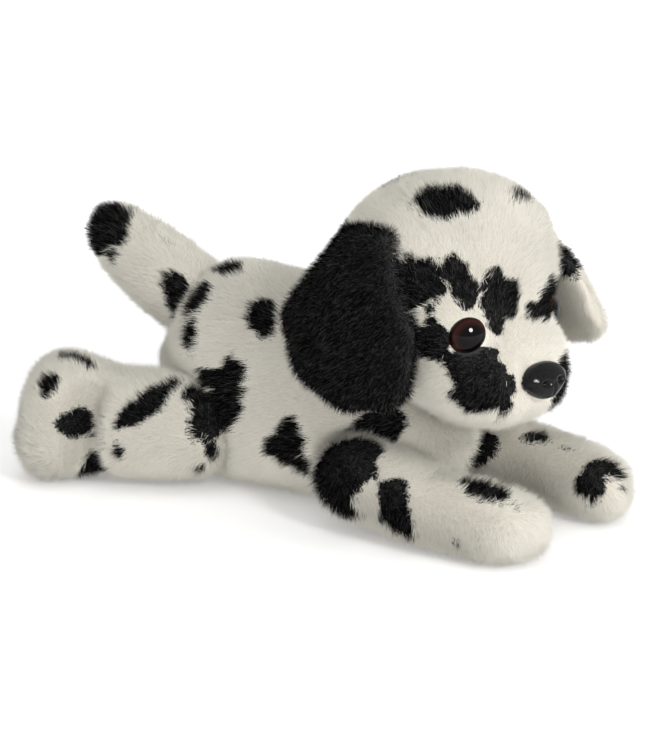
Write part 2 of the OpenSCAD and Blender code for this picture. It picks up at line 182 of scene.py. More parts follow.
def apply_modifiers(obj):
    """Makes the evaluated mesh the object's own and takes its modifiers off."""
    evaluated = obj.evaluated_get(bpy.context.evaluated_depsgraph_get())
    mesh = bpy.data.meshes.new_from_object(evaluated)
    obj.modifiers.clear()
    old = obj.data
    obj.data = mesh
    bpy.data.meshes.remove(old)


def add_smooth(obj, iterations):
    """Adds a modifier that smooths an object so many times."""
    smooth = obj.modifiers.new("smooth", "SMOOTH")
    smooth.factor = 0.5
    smooth.iterations = iterations


def remeshed(obj, smoothing, inset):
    """Remeshes an object evenly, smooths it, shrinks it by the inset and smooths it once more."""
    remesh = obj.modifiers.new("remesh", "REMESH")
    remesh.mode = "VOXEL"
    remesh.voxel_size = VOXEL
    add_smooth(obj, smoothing)
    shrink = obj.modifiers.new("shrink", "DISPLACE")
    shrink.mid_level = 0
    shrink.strength = -inset
    add_smooth(obj, 2)
    apply_modifiers(obj)
    return obj


def divided(obj):
    """Divides an object's faces once and rounds them."""
    divide = obj.modifiers.new("divide", "SUBSURF")
    divide.levels = 1
    apply_modifiers(obj)
    return obj


def puffed(obj):
    """Blows a cover up a little as cloth, moving no point further than PUFF_LIMIT."""
    before = corners(obj.data)
    cloth = obj.modifiers.new("cloth", "CLOTH")
    cloth.settings.quality = 4
    cloth.settings.mass = CLOTH_MASS
    cloth.settings.use_pressure = True
    cloth.settings.uniform_pressure_force = PUFF_PRESSURE
    cloth.settings.effector_weights.gravity = 0
    cloth.point_cache.frame_end = PUFF_FRAMES
    for frame_number in range(1, PUFF_FRAMES + 1):
        bpy.context.scene.frame_set(frame_number)
    apply_modifiers(obj)
    bpy.context.scene.frame_set(1)
    moved = corners(obj.data) - before
    reach = np.linalg.norm(moved, axis=1, keepdims=True)
    set_corners(obj.data, before + moved * np.minimum(1, PUFF_LIMIT / np.maximum(reach, 1e-9)))
    return obj


def cover(name, clouds, inset, smoothing=7):
    """A smooth closed cover round the hulls of these clouds of points."""
    bm = bmesh.new()
    for points in clouds:
        add_hull(bm, points)
    mesh = bpy.data.meshes.new(name)
    bm.to_mesh(mesh)
    bm.free()
    return divided(puffed(remeshed(new_object(name, mesh), smoothing, inset + PUFF_LIMIT)))


def surface(mesh):
    """Corner points and their normals."""
    normals = np.empty(len(mesh.vertices) * 3, np.float32)
    mesh.vertices.foreach_get("normal", normals)
    return corners(mesh), normals.reshape(-1, 3).astype(float)


def set_corners(mesh, points):
    """Moves a mesh's corner points."""
    mesh.vertices.foreach_set("co", points.astype(np.float32).ravel())
    mesh.update()


def shade_smooth(mesh):
    """Shades a mesh as one rounded surface."""
    mesh.polygons.foreach_set("use_smooth", np.ones(len(mesh.polygons), bool))


def press(obj, place, radius, depth):
    """Presses a round dent of this depth into a cover, or raises a bump where depth is below 0."""
    points, normals = surface(obj.data)
    near = np.exp(-((points - place) ** 2).sum(1) / (radius * radius))
    set_corners(obj.data, points - normals * (depth * near)[:, None])


def crease(obj, route, width, depth):
    """Presses a narrow valley along a route of points."""
    points, normals = surface(obj.data)
    nearest = np.full(len(points), 1.0)
    for start, end in zip(route[:-1], route[1:]):
        along = end - start
        share = np.clip((points - start) @ along / (along @ along), 0, 1)
        nearest = np.minimum(nearest, np.linalg.norm(points - start - share[:, None] * along, axis=1))
    valley = np.exp(-(nearest / width) ** 2)
    set_corners(obj.data, points - normals * (depth * valley)[:, None])


def sit(obj, height=FLOOR_GAP):
    """Keeps a cover above the floor."""
    points = corners(obj.data)
    points[:, 2] = np.maximum(points[:, 2], height)
    set_corners(obj.data, points)


def make_torso():
    """The body, from its two side panels and its belly."""
    points = cloud("torso_left_panel", "torso_right_panel", "belly_panel")
    obj = cover("torso_cover", [points], 0.8 * MM)
    back = np.array((-36, 0, 101)) * MM
    rump = np.array((-60, 0, 98)) * MM
    press(obj, back, 36 * MM, -1.6 * MM)
    press(obj, rump, 22 * MM, -3.6 * MM)
    sit(obj)
    return obj


def make_head():
    """The skull and the muzzle: brow, crown and cheeks raised, stop, eye sockets and seams pressed in."""
    skull = cloud("forehead_panel", "left_cheek_panel", "right_cheek_panel")
    muzzle = cloud("muzzle_panel", "chin_panel")
    obj = divided(cover("head_cover", [skull, muzzle], 0.3 * MM, smoothing=8))
    brow, top = in_head(42, 28, 42), in_head(20, -4, 62)
    press(obj, brow, 26 * MM, -5.5 * MM)
    press(obj, top, 30 * MM, -1.5 * MM)
    points, normals = surface(obj.data)
    towards_crown = unit(np.array((0.46, 0.57, 0.68)))
    crown = smoothstep(normals @ towards_crown, 0.70, 1.0)
    set_corners(obj.data, points + normals * (crown * 3.5 * MM)[:, None])
    muzzle_side, stop = in_head(76, 10, -10), in_head(57, 0, 14)
    press(obj, muzzle_side, 12 * MM, -2.0 * MM)
    press(obj, stop, 9 * MM, 2.5 * MM)
    for side, sign in SIDES.items():
        jowl = in_head(58, sign * 22, -22)
        gusset = [in_head(f, sign * 15, u) for f, u in ((50, 30), (40, 48), (20, 60), (0, 62))]
        press(obj, EYES[side], 9 * MM, 1.2 * MM)
        press(obj, jowl, 13 * MM, -2.0 * MM)
        crease(obj, gusset, 2.2 * MM, 0.8 * MM)
    return obj


LEFT_EAR_STRETCH = 1.06
LEFT_EAR_BULGE = 3.5 * MM


def make_ear(side):
    """One hanging ear. The left one hangs a little longer and bulges away from the head."""
    points = cloud(f"{side}_ear_outer", f"{side}_ear_lining")
    obj = cover(f"{side}_ear_cover", [points], 0.4 * MM, smoothing=4)
    if side == "left":
        points = corners(obj.data)
        top = points[:, 2].max()
        drop = top - points[:, 2]
        points[:, 2] = top - drop * LEFT_EAR_STRETCH
        bulge = np.sin(np.clip(drop / (drop.max() * 0.8), 0, 1) * math.pi)
        points[:, 1] += bulge * LEFT_EAR_BULGE
        set_corners(obj.data, points)
    return obj


def make_tail():
    """The upturned tail, in overlapping lengths, with its hollow back filled out to a straight line."""
    points = cloud("tail_left_panel", "tail_right_panel")
    along = points[:, 0]
    filled = smoothstep(along, -132 * MM, -100 * MM) * (1 - smoothstep(along, -84 * MM, -62 * MM))
    raised = points + np.outer(filled * TAIL_RISE, UP)
    points = np.concatenate([points, raised])
    cuts = np.linspace(points[:, 0].min(), points[:, 0].max(), 8)
    lap = 5 * MM
    lengths = [between(points, a - lap, b + lap) for a, b in zip(cuts[:-1], cuts[1:])]
    return cover("tail_cover", lengths, -2.0 * MM, smoothing=14)


def make_front_leg(side):
    """A front leg, from the shoulder to the paw."""
    points = cloud(f"front_{side}_leg_cover", f"front_{side}_leg_sole")
    upper = between(points, -1, FRONT_KNEE + 2 * MM)
    paw = between(points, FRONT_KNEE - 16 * MM, 1)
    obj = cover(f"front_{side}_leg_cover_pile", [upper, paw], 1.4 * MM)
    sit(obj)
    return obj


FOOT_LEAN = 0.07            # how far the right hind foot leans forward for each metre of height
FOOT_MIDDLE = 40 * MM       # the height at which that lean moves nothing


def make_hind_leg(side):
    """A hind leg, from the hip to the upright foot. The right foot leans forward a little."""
    points = cloud(f"hind_{side}_leg_cover", f"hind_{side}_foot_sole")
    upper = between(points, HIND_KNEE - 3 * MM, 1)
    foot = between(points, -1, HIND_KNEE + 2 * MM)
    obj = cover(f"hind_{side}_leg_cover_pile", [upper, foot], 1.6 * MM)
    if side == "right":
        points = corners(obj.data)
        foot_share = smoothstep(-points[:, 0], -HIND_KNEE, -HIND_KNEE + 20 * MM)
        points[:, 0] += foot_share * (points[:, 2] - FOOT_MIDDLE) * FOOT_LEAN
        set_corners(obj.data, points)
    sit(obj)
    return obj


# ---- Spots ----

def spot(x, y, z, long, short, axis=(1, 0, 0)):
    """A black spot: where its middle is, its half lengths and the way it is drawn out, in mm."""
    return np.array((x, y, z)) * MM, long * MM, short * MM, unit(np.array(axis, float))


SPOT_EDGE = 1.08    # a spot ends at this many half lengths from its middle, give or take the wobble

SPOTS = {
    "torso": [
        spot(-53, -7, 101, 9, 6),
        spot(-20, -29, 89, 10, 8, (1, 0, -0.6)),
        spot(-58, -36, 74, 9, 5, (-0.2, 0, 1)),
        spot(-64, -26, 90, 13, 8, (0.2, 0, 1)),
        spot(-32, -46, 52, 20, 9, (0.25, 0, 1)),
        spot(-42, -47, 58, 9, 6, (1, 0, 0.2)),
        spot(48, -32, 47, 13, 9, (1, 0, 0.3)),
        spot(71, 14, 25, 9, 6, (0.3, 1, 0.5)),
        spot(4, -42, 36, 10, 7, (0.2, 0, 1)),
        spot(-2, -42, 27, 9, 7, (1, 0, -0.3)),
        spot(9, -40, 20, 7, 6),
        spot(-28, 36, 86, 13, 9, (1, 0, 0.4)),
        spot(-5, 42, 60, 14, 9, (0.3, 0, 1)),
        spot(-60, 42, 70, 11, 8),
        spot(12, 40, 30, 10, 8),
        spot(-84, 10, 50, 10, 8, (0, 1, 0.4)),
        spot(-80, -20, 28, 9, 7, (0, 1, 0)),
        spot(8, 8, 101, 9, 7, (1, 0.6, 0)),
    ],
    "tail": [
        spot(-130, -6, 113, 17, 14.5, (-0.4, 0, 1)),
        spot(-99, -2, 107, 5, 1.6, (-1, 0, 0.5)),
        spot(-80, -14.5, 87, 12, 8.5, (0.6, 0, -1)),
        spot(-75, -14, 82, 12, 9, (0.2, 0, 1)),
        spot(-100, 15, 88, 12, 8, (1, 0, -0.4)),
        spot(-126, 14, 96, 7, 5),
    ],
    "head": [
        spot(76, -20, 157, 14, 9.5, (0.8, 0.6, -0.1)),
        spot(93, 15, 153, 8, 4.5, (0.3, 1, 0)),
        spot(78, -47, 124, 13, 11, (0.3, -0.1, 1)),
        spot(93, -38, 131, 8, 6, (1, 0, 0.4)),
        spot(97, -36, 122, 9, 5.5, (0.1, 0, 1)),
        spot(105, -20, 116, 11, 9.5, (-0.2, 0.1, 1)),
        spot(106, -25, 107, 8, 4, (0, 0.3, 1)),
        spot(111.5, 2, 107, 12, 4.2, (0, 1, 0.05)),
        spot(111, 8, 110, 7, 6, (0, 0.2, 1)),
        spot(113, 5, 107, 6, 5, (0, 0.5, 1)),
        spot(110, 14, 111, 8, 7, (0, 0.3, 1)),
        spot(104, 29, 104, 13, 12, (0, 0, 1)),
        spot(86, -46, 99, 9.5, 8, (0.3, 0, 1)),
        spot(105, -37, 81, 17, 12.5, (0.5, 0.1, -0.85)),
        spot(101, -39, 75, 7, 6.5, (0.2, 0, -1)),
        spot(112, -32, 83, 6, 5, (0, 0, 1)),
        spot(123, 8, 72, 13, 9.5, (0, 0.3, 1)),
        spot(96, 50, 124, 12, 7, (0, 0.2, 1)),
        spot(78, 48, 96, 12, 10),
        spot(100, 42, 78, 11, 9, (1, 0, 0.5)),
        spot(20, -34, 130, 15, 11, (0, 0.4, 1)),
        spot(14, 22, 122, 14, 10, (0, 1, 0.4)),
        spot(36, 4, 158, 13, 10, (1, 0.5, 0)),
        spot(62, 34, 150, 12, 8, (1, 0, 0)),
        spot(40, -50, 96, 11, 8, (0, 0, 1)),
    ],
    "front_right_leg": [
        spot(49, -58, 38, 15, 12, (1, 0, 0.2)),
        spot(42, -60, 27, 19, 12, (0.1, 0, -1)),
        spot(76, -60, 20, 15, 8.5, (0.4, 0, -1)),
        spot(50, -50, 42, 12, 9, (1, 0, 0.2)),
        spot(114, -41, 36, 13, 7, (1, 0, -0.3)),
        spot(106, -56, 9, 3, 3),
        spot(55, -60, 10, 4, 3),
        spot(88, -24, 26, 9, 6, (1, 0, 0.2)),
    ],
    "front_left_leg": [
        spot(94, 33, 37, 8, 4, (1, 0, 0.2)),
        spot(112, 32, 36, 3, 1.5),
        spot(132, 22, 24, 12, 7, (0.2, 0.3, 1)),
        spot(139, 30, 30, 9, 6, (1, 0.4, 0)),
        spot(146, 30, 20, 3, 2),
        spot(70, 21, 26, 10, 7, (1, 0, 0.8)),
        spot(60, 58, 34, 15, 11, (0.6, 0, 1)),
        spot(92, 60, 22, 12, 8, (1, 0, 0.2)),
        spot(120, 54, 14, 8, 5),
    ],
    "hind_right_leg": [
        spot(-33, -47, 50, 20, 10, (0.25, 0, 1)),
        spot(-43, -49, 57, 9, 6, (1, 0, 0.2)),
        spot(-35, -48, 27, 11, 4, (-0.2, 0, 1)),
        spot(-66, -58, 45, 18, 6.5, (0.4, 0.73, 0.6)),
        spot(-110, -58, 62, 10, 5, (1, 0.3, 0)),
        spot(-110, -81, 54, 7, 5, (-0.1, 0, 1)),
        spot(-97, -72, 33, 11, 6.5, (0.25, 0.92, -0.4)),
        spot(-98, -63, 6.5, 10, 7, (0.6, 0.5, 0.8)),
        spot(-76, -70, 22, 5, 3, (0, 0, 1)),
        spot(-44, -48, 12, 5, 3),
        spot(-128, -78, 22, 6, 3, (0, 0, 1)),
    ],
    "hind_left_leg": [
        spot(-50, 60, 42, 16, 12, (0.4, 0, 1)),
        spot(-84, 77, 34, 12, 9, (1, 0, 0.2)),
        spot(-112, 84, 40, 10, 7, (0, 0, 1)),
        spot(-106, 40, 54, 11, 8, (1, 0.4, 0)),
        spot(-100, 80, 10, 9, 6),
        spot(-78, 36, 34, 6, 8, (0, 0, 1)),
    ],
    "left_ear": [
        spot(102.5, 48, 118.5, 10, 6.5, (0, 0.3, -1)),
    ],
}


def is_black(body, points):
    """Where a body's spots are, with uneven edges. The right ear is black all over."""
    if body == "right_ear":
        return np.ones(len(points), bool)
    wobble = 0.13 * waves(points, 15 * MM, 41) + 0.07 * waves(points, 5 * MM, 43)
    wobble = np.clip(wobble, -0.2, 0.2)
    black = np.zeros(len(points), bool)
    for middle, long, short, axis in SPOTS[body]:
        middle = np.array(trees[body][0].find_nearest(Vector(middle))[0])
        away = points - middle
        along = away @ axis
        across = np.sqrt(np.maximum((away * away).sum(1) - along * along, 0))
        black |= np.hypot(along / long, across / short) + wobble < SPOT_EDGE
    return black


# ---- Nap: the way the pile lies ----

def steady(x, y, z):
    """Pile that lies one way all over."""
    return lambda points: np.broadcast_to(np.array((x, y, z), float), points.shape)


def head_nap(points):
    """Away from the nose, and down over the cheeks."""
    away = unit(points - NOSE + HEAD_FRONT * 4 * MM)
    low = 1 - smoothstep(points[:, 2], NOSE[2], EYES["left"][2] + 10 * MM)
    return away + low[:, None] * np.array((0, 0, -0.5))


def hind_nap(points):
    """Back along the leg, and up the foot to its toes."""
    foot = smoothstep(-points[:, 0], -HIND_KNEE, -HIND_KNEE + 30 * MM)[:, None]
    return (1 - foot) * np.array((-1, 0, 0.25)) + foot * np.array((-0.5, 0, 0.9))


def front_nap(points):
    """Along the leg, and down over the paw's tip."""
    tip = smoothstep(points[:, 0], FRONT_KNEE, FRONT_KNEE + 45 * MM)[:, None]
    return (1 - tip) * np.array((1, 0, -0.35)) + tip * np.array((0.5, 0, -0.8))


NAPS = {
    "torso": steady(-1, 0, -0.15),
    "head": head_nap,
    "left_ear": steady(0, 0, -1),
    "right_ear": steady(0, 0, -1),
    "tail": steady(-1, 0, 0.6),
    "front_left_leg": front_nap,
    "front_right_leg": front_nap,
    "hind_left_leg": hind_nap,
    "hind_right_leg": hind_nap,
}


# ---- Pile ----

def scatter(mesh, per_mm2):
    """Even random roots over a mesh, with their normals."""
    mesh.calc_loop_triangles()
    triangles = np.empty(len(mesh.loop_triangles) * 3, np.int32)
    mesh.loop_triangles.foreach_get("vertices", triangles)
    triangles = triangles.reshape(-1, 3)
    points, normals = surface(mesh)
    a, b, c = (points[triangles[:, k]] for k in range(3))
    areas = np.linalg.norm(np.cross(b - a, c - a), axis=1) / 2
    reach = np.cumsum(areas)
    count = int(reach[-1] * MM2_PER_M2 * per_mm2)
    picks = (np.arange(count) + random.random(count)) / count * reach[-1]
    chosen = np.minimum(np.searchsorted(reach, picks), len(areas) - 1)
    u, v = random.random((2, count))
    over = u + v > 1
    u[over], v[over] = 1 - u[over], 1 - v[over]
    weights = np.stack([1 - u - v, u, v], axis=1)
    roots = sum(weights[:, k, None] * points[triangles[chosen, k]] for k in range(3))
    upright = unit(sum(weights[:, k, None] * normals[triangles[chosen, k]] for k in range(3)))
    return roots, upright


def buried(points, others, depth):
    """True for points that lie deeper than this inside another cover."""
    inside = np.zeros(len(points), bool)
    for tree, low, high in others:
        boxed = np.where(((points > low) & (points < high)).all(1) & ~inside)[0]
        for i in boxed:
            place, normal, _, distance = tree.find_nearest(Vector(points[i]))
            if distance > depth and (place - Vector(points[i])).dot(normal) > 0:
                inside[i] = True
    return inside


def strands(name, roots, upright, directions, lengths, radius, tones_and_glints, spread):
    """A mesh of thin three-sided cones, shaded with their cover's own normals."""
    count = len(roots)
    side = unit(np.cross(directions, upright))
    other = np.cross(directions, side)
    points = np.empty((count, 4, 3), np.float32)
    for k in range(3):
        turn = 2 * math.pi * k / 3
        points[:, k] = roots + radius * (math.cos(turn) * side + math.sin(turn) * other)
    points[:, 3] = roots + directions * lengths[:, None]
    points[:, :, 2] = np.maximum(points[:, :, 2], FLOOR_GAP)
    faces = np.array([[0, 1, 3], [1, 2, 3], [2, 0, 3]])
    index = (np.arange(count)[:, None, None] * 4 + faces).astype(np.int32)
    mesh = bpy.data.meshes.new(name)
    mesh.vertices.add(count * 4)
    mesh.vertices.foreach_set("co", points.ravel())
    mesh.loops.add(count * 9)
    mesh.loops.foreach_set("vertex_index", index.ravel())
    mesh.polygons.add(count * 3)
    mesh.polygons.foreach_set("loop_start", np.arange(0, count * 9, 3, dtype=np.int32))
    mesh.update(calc_edges=True)
    uv = np.zeros((count, 3, 3, 2), np.float32)
    uv[..., 0] = tones_and_glints[:, None, None]
    uv[:, :, 2, 1] = 1
    mesh.uv_layers.new(name="OFBake").data.foreach_set("uv", uv.ravel())
    shade_smooth(mesh)
    shading = unit(upright + spread * random.normal(size=upright.shape))
    mesh.normals_split_custom_set_from_vertices(np.repeat(shading, 4, axis=0))
    return new_object(name, mesh)


def from_point(points, place):
    """How far each point is from a place."""
    return np.linalg.norm(points - place, axis=1)


def bare(roots):
    """True for roots under an eye or the nose."""
    under = from_point(roots, NOSE) <= NOSE_BARE
    for eye in EYES.values():
        under |= from_point(roots, eye) <= EYE_RADIUS
    return under


def strand_directions(body, roots, upright, lean):
    """Which way each strand points: leaning over along the nap, with slow waves and a random part."""
    count = len(roots)
    nap = unit(NAPS[body](roots)) + 0.14 * wave_vectors(roots, 30 * MM, 5)
    nap = nap + 0.07 * wave_vectors(roots, 7 * MM, 11) + 0.42 * random.normal(size=(count, 3))
    nap = unit(nap - (nap * upright).sum(1)[:, None] * upright)
    lean = np.radians(lean + 3 * waves(roots, 12 * MM, 17) + 13 * random.normal(size=count))
    return unit(np.cos(lean)[:, None] * upright + np.sin(lean)[:, None] * nap)


def strand_lengths(roots, length):
    """How long each strand is: uneven, and shorter round the eyes and over the muzzle."""
    lengths = length * (1 + 0.07 * waves(roots, 9 * MM, 23) + 0.18 * random.normal(size=len(roots)))
    for eye in EYES.values():
        lengths *= 0.65 + 0.35 * smoothstep(from_point(roots, eye), 9 * MM, 16 * MM)
    away = from_point(roots, NOSE)
    near, far = smoothstep(away, 10 * MM, 24 * MM), smoothstep(away, 24 * MM, 60 * MM)
    return lengths * (0.40 + 0.38 * near + 0.22 * far)


def grow_pile(body, skin, pile, others):
    """Grows a body's white and black strands and lets them ride on it."""
    roots, upright = scatter(skin.data, pile["per_mm2"])
    keep = ~buried(roots, others, BURIED_DEPTH) & ~bare(roots)
    roots, upright = roots[keep], upright[keep]
    directions = strand_directions(body, roots, upright, pile["lean"])
    lengths = strand_lengths(roots, pile["length"])
    # Each strand's random place on the tone ramp: its own tone, and on black strands a painted glint.
    tones_and_glints = random.uniform(0.01, 0.99, len(roots))
    black = is_black(body, roots + directions * (COLOUR_PLACE * lengths)[:, None])
    for colour, chosen in (("white", ~black), ("black", black)):
        if chosen.any():
            obj = strands(f"{body}_{colour}_pile", roots[chosen], upright[chosen], directions[chosen],
                          lengths[chosen], pile["radius"], tones_and_glints[chosen], SPREADS[colour])
            obj.data.materials.append(PILES[colour])
            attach(obj, body)


# ---- Materials ----

def new_material(name):
    """A material, its nodes, its links and its main shader."""
    material = bpy.data.materials.new(name)
    material.use_nodes = True
    nodes, links = material.node_tree.nodes, material.node_tree.links
    return material, nodes, links, nodes["Principled BSDF"]


def grey(level):
    """A grey."""
    return (level, level, level)


def ramp(nodes, links, source, stops):
    """A colour ramp on a source socket."""
    node = nodes.new("ShaderNodeValToRGB")
    elements = node.color_ramp.elements
    while len(elements) < len(stops):
        elements.new(0.5)
    for element, (place, colour) in zip(elements, stops):
        element.position = place
        element.color = (*colour, 1)
    links.new(source, node.inputs["Fac"])
    return node.outputs["Color"]


def pile_material(name, shares, tones_and_glints, roughness, specular):
    """Strands darkened towards the root as painted shade deep in the pile, each with a random tone; on
    black strands the brightest tones are painted glints.
    """
    material, nodes, links, shader = new_material(name)
    uv = nodes.new("ShaderNodeUVMap")
    uv.uv_map = "OFBake"
    split = nodes.new("ShaderNodeSeparateXYZ")
    links.new(uv.outputs["UV"], split.inputs["Vector"])
    along = ramp(nodes, links, split.outputs["Y"], shares)
    # The strand's tone; on black strands the top of this ramp is a painted glint.
    tone_and_glint = ramp(nodes, links, split.outputs["X"], tones_and_glints)
    mix = nodes.new("ShaderNodeMix")
    mix.data_type = "RGBA"
    mix.blend_type = "MULTIPLY"
    mix.inputs[0].default_value = 1
    links.new(along, mix.inputs[6])
    links.new(tone_and_glint, mix.inputs[7])
    links.new(mix.outputs[2], shader.inputs["Base Color"])
    shader.inputs["Roughness"].default_value = roughness
    shader.inputs["Specular IOR Level"].default_value = specular
    return material


def mottled_material(name, dark, light, scale, roughness, bump=0.0, specular=0.5):
    """A surface that varies a little between two colours."""
    material, nodes, links, shader = new_material(name)
    place = nodes.new("ShaderNodeTexCoord")
    noise = nodes.new("ShaderNodeTexNoise")
    noise.inputs["Scale"].default_value = scale
    noise.inputs["Detail"].default_value = 6
    links.new(place.outputs["Object"], noise.inputs["Vector"])
    colour = ramp(nodes, links, noise.outputs["Fac"], [(0.3, dark), (0.7, light)])
    links.new(colour, shader.inputs["Base Color"])
    shader.inputs["Roughness"].default_value = roughness
    shader.inputs["Specular IOR Level"].default_value = specular
    if bump:
        lift = nodes.new("ShaderNodeBump")
        lift.inputs["Strength"].default_value = bump
        lift.inputs["Distance"].default_value = 0.4 * MM
        links.new(noise.outputs["Fac"], lift.inputs["Height"])
        links.new(lift.outputs["Normal"], shader.inputs["Normal"])
    return material


def eye_material(side):
    """A glossy dome coloured as a black pupil and a dark red-brown iris, drawn round the eye's own axis."""
    material, nodes, links, shader = new_material(f"{side}_eye")
    place = nodes.new("ShaderNodeTexCoord")
    offset = nodes.new("ShaderNodeVectorMath")
    offset.operation = "SUBTRACT"
    offset.inputs[1].default_value = EYES[side]
    links.new(place.outputs["Object"], offset.inputs[0])
    cross = nodes.new("ShaderNodeVectorMath")
    cross.operation = "CROSS_PRODUCT"
    cross.inputs[1].default_value = flat_axis(f"{side}_eye_dome")
    links.new(offset.outputs["Vector"], cross.inputs[0])
    length = nodes.new("ShaderNodeVectorMath")
    length.operation = "LENGTH"
    links.new(cross.outputs["Vector"], length.inputs[0])
    share = nodes.new("ShaderNodeMath")
    share.operation = "DIVIDE"
    share.inputs[1].default_value = EYE_RADIUS
    links.new(length.outputs["Value"], share.inputs[0])
    black = (0.002, 0.0015, 0.0015)
    colour = ramp(nodes, links, share.outputs["Value"], [
        (0.0, black), (0.64, black), (0.74, (0.010, 0.003, 0.002)),
        (0.90, (0.030, 0.007, 0.005)), (0.97, (0.008, 0.003, 0.002)),
    ])
    links.new(colour, shader.inputs["Base Color"])
    shader.inputs["Roughness"].default_value = 0.06
    shader.inputs["Specular IOR Level"].default_value = 0.14
    return material


# In each pile the first stops darken the strands towards the root: painted shade deep in the pile.
PILES = {
    "white": pile_material("white_pile",
                           [(0, (0.76, 0.72, 0.63)), (0.45, (0.92, 0.89, 0.80))],
                           [(0, (0.95, 0.945, 0.93)), (1, grey(1))], 0.85, 0.08),
    # Black strands: the tone stops make about a sixth of the strands up to 22 times brighter, painted
    # glints.
    "black": pile_material("black_pile",
                           [(0, grey(0.001)), (0.35, grey(0.002)), (0.6, grey(0.0045))],
                           [(0, grey(0.4)), (0.82, grey(1)), (0.86, grey(22))], 0.8, 0.015),
}
# The white backing is darker than the strands' tips, about the roots' colour: painted shade at the foot of
# the pile.
COVERS = {
    "white": mottled_material("white_backing", (0.70, 0.66, 0.58), (0.78, 0.74, 0.66), 400, 0.9),
    "black": mottled_material("black_backing", grey(0.002), grey(0.004), 400, 0.9),
}
STUFFING = mottled_material("stuffing_fibre", (0.70, 0.70, 0.69), (0.86, 0.86, 0.85), 300, 0.95, 0.6)
BLACK_PLASTIC = mottled_material("black_plastic", grey(0.006), grey(0.012), 900, 0.16, 0.08, 0.10)
WASHER_PLASTIC = mottled_material("washer_plastic", (0.70, 0.70, 0.68), (0.78, 0.78, 0.76), 700, 0.45, 0.05)


# ---- Nose ----

NOSE_HALF_WIDTH, NOSE_HALF_HEIGHT, NOSE_THICK = 13.2 * MM, 8.4 * MM, 6.8 * MM
NOSE_TILT = math.radians(20)
NOSE_OUTWARD = HEAD_FRONT * math.cos(NOSE_TILT) + UP * math.sin(NOSE_TILT)
NOSE_UPWARD = np.cross(NOSE_OUTWARD, HEAD_SIDE)
NOSE_BACK = 6.7 * MM        # from the washer's middle to the moulding's back
NOSE_SUNK = 2.6 * MM        # from the moulding's back to its middle


def make_nose():
    """A rounded nose, narrower below, with two nostrils and a groove under them."""
    bm = bmesh.new()
    bmesh.ops.create_icosphere(bm, subdivisions=6, radius=1.0)
    mesh = bpy.data.meshes.new("nose_moulding")
    bm.to_mesh(mesh)
    bm.free()
    out, across, up = corners(mesh).T
    narrowing = 1 - 0.30 * smoothstep(-up, -0.2, 1.0)
    front = out > 0
    flat = np.sign(out) * np.abs(out) ** 0.8
    for sign in SIDES.values():
        hole = np.exp(-(((across - sign * 0.40) / 0.17) ** 2 + ((up + 0.18) / 0.15) ** 2))
        flat = flat - 0.42 * hole * front
        wing = np.exp(-(((across - sign * 0.62) / 0.22) ** 2 + ((up + 0.22) / 0.30) ** 2))
        flat = flat + 0.10 * wing * front
    groove = np.exp(-(across / 0.06) ** 2) * smoothstep(-up, 0.05, 0.4)
    flat = flat - 0.16 * groove * front
    middle = box_centre("nose_washer") + NOSE_OUTWARD * NOSE_BACK + NOSE_OUTWARD * NOSE_SUNK
    points = (middle + np.outer(flat * NOSE_THICK, NOSE_OUTWARD)
              + np.outer(across * narrowing * NOSE_HALF_WIDTH, HEAD_SIDE)
              + np.outer(up * NOSE_HALF_HEIGHT, NOSE_UPWARD))
    set_corners(mesh, points)
    shade_smooth(mesh)
    obj = new_object("nose_moulding", mesh)
    mesh.materials.append(BLACK_PLASTIC)
    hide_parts("nose")
    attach(obj, "head")


# ---- Dressing the frame ----

def replaced_nodes():
    """The CAD nodes that each body's cover stands for."""
    nodes = {
        "torso": ("torso_left_panel", "torso_right_panel", "belly_panel", "torso_fill", "belly_pellet_bag"),
        "head": ("forehead_panel", "left_cheek_panel", "right_cheek_panel", "muzzle_panel", "chin_panel",
                 "head_fill"),
        "tail": ("tail_left_panel", "tail_right_panel", "tail_fill"),
    }
    for side in SIDES:
        nodes[f"{side}_ear"] = (f"{side}_ear_outer", f"{side}_ear_lining")
        nodes[f"front_{side}_leg"] = tuple(
            f"front_{side}_{part}" for part in ("leg_cover", "leg_sole", "leg_fill", "paw_pellets"))
        nodes[f"hind_{side}_leg"] = tuple(
            f"hind_{side}_{part}" for part in ("leg_cover", "foot_sole", "leg_fill", "foot_pellets"))
    return nodes


def make_skins():
    """Every body's cover."""
    made = {"torso": make_torso(), "head": make_head(), "tail": make_tail()}
    for side in SIDES:
        made[f"{side}_ear"] = make_ear(side)
        made[f"front_{side}_leg"] = make_front_leg(side)
        made[f"hind_{side}_leg"] = make_hind_leg(side)
    return made


def tree_of(skin):
    """A cover's search tree and its box."""
    points = corners(skin.data)
    faces = [tuple(p.vertices) for p in skin.data.polygons]
    return BVHTree.FromPolygons([Vector(p) for p in points], faces), points.min(0), points.max(0)


def paint_cover(body, skin):
    """White cloth with black where the spots are."""
    mesh = skin.data
    mesh.materials.clear()
    for colour in ("white", "black"):
        mesh.materials.append(COVERS[colour])
    centres = np.empty(len(mesh.polygons) * 3)
    mesh.polygons.foreach_get("center", centres)
    black = is_black(body, centres.reshape(-1, 3))
    mesh.polygons.foreach_set("material_index", black.astype(np.int32))
    shade_smooth(mesh)


def dress_cover(body, skin):
    """Paints a cover, puts it in the place of its CAD nodes and grows its pile."""
    is_ear = body.endswith("ear")
    paint_cover(body, skin)
    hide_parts(*REPLACED[body])
    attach(skin, body)
    others = [tree for other, tree in trees.items() if other != body]
    grow_pile(body, skin, SHORT_PILE if is_ear else LONG_PILE, others)


def dress_node(node, material):
    """Gives a CAD node that stays its material."""
    obj = frame["nodes"][node]
    obj.data.materials.clear()
    obj.data.materials.append(material)


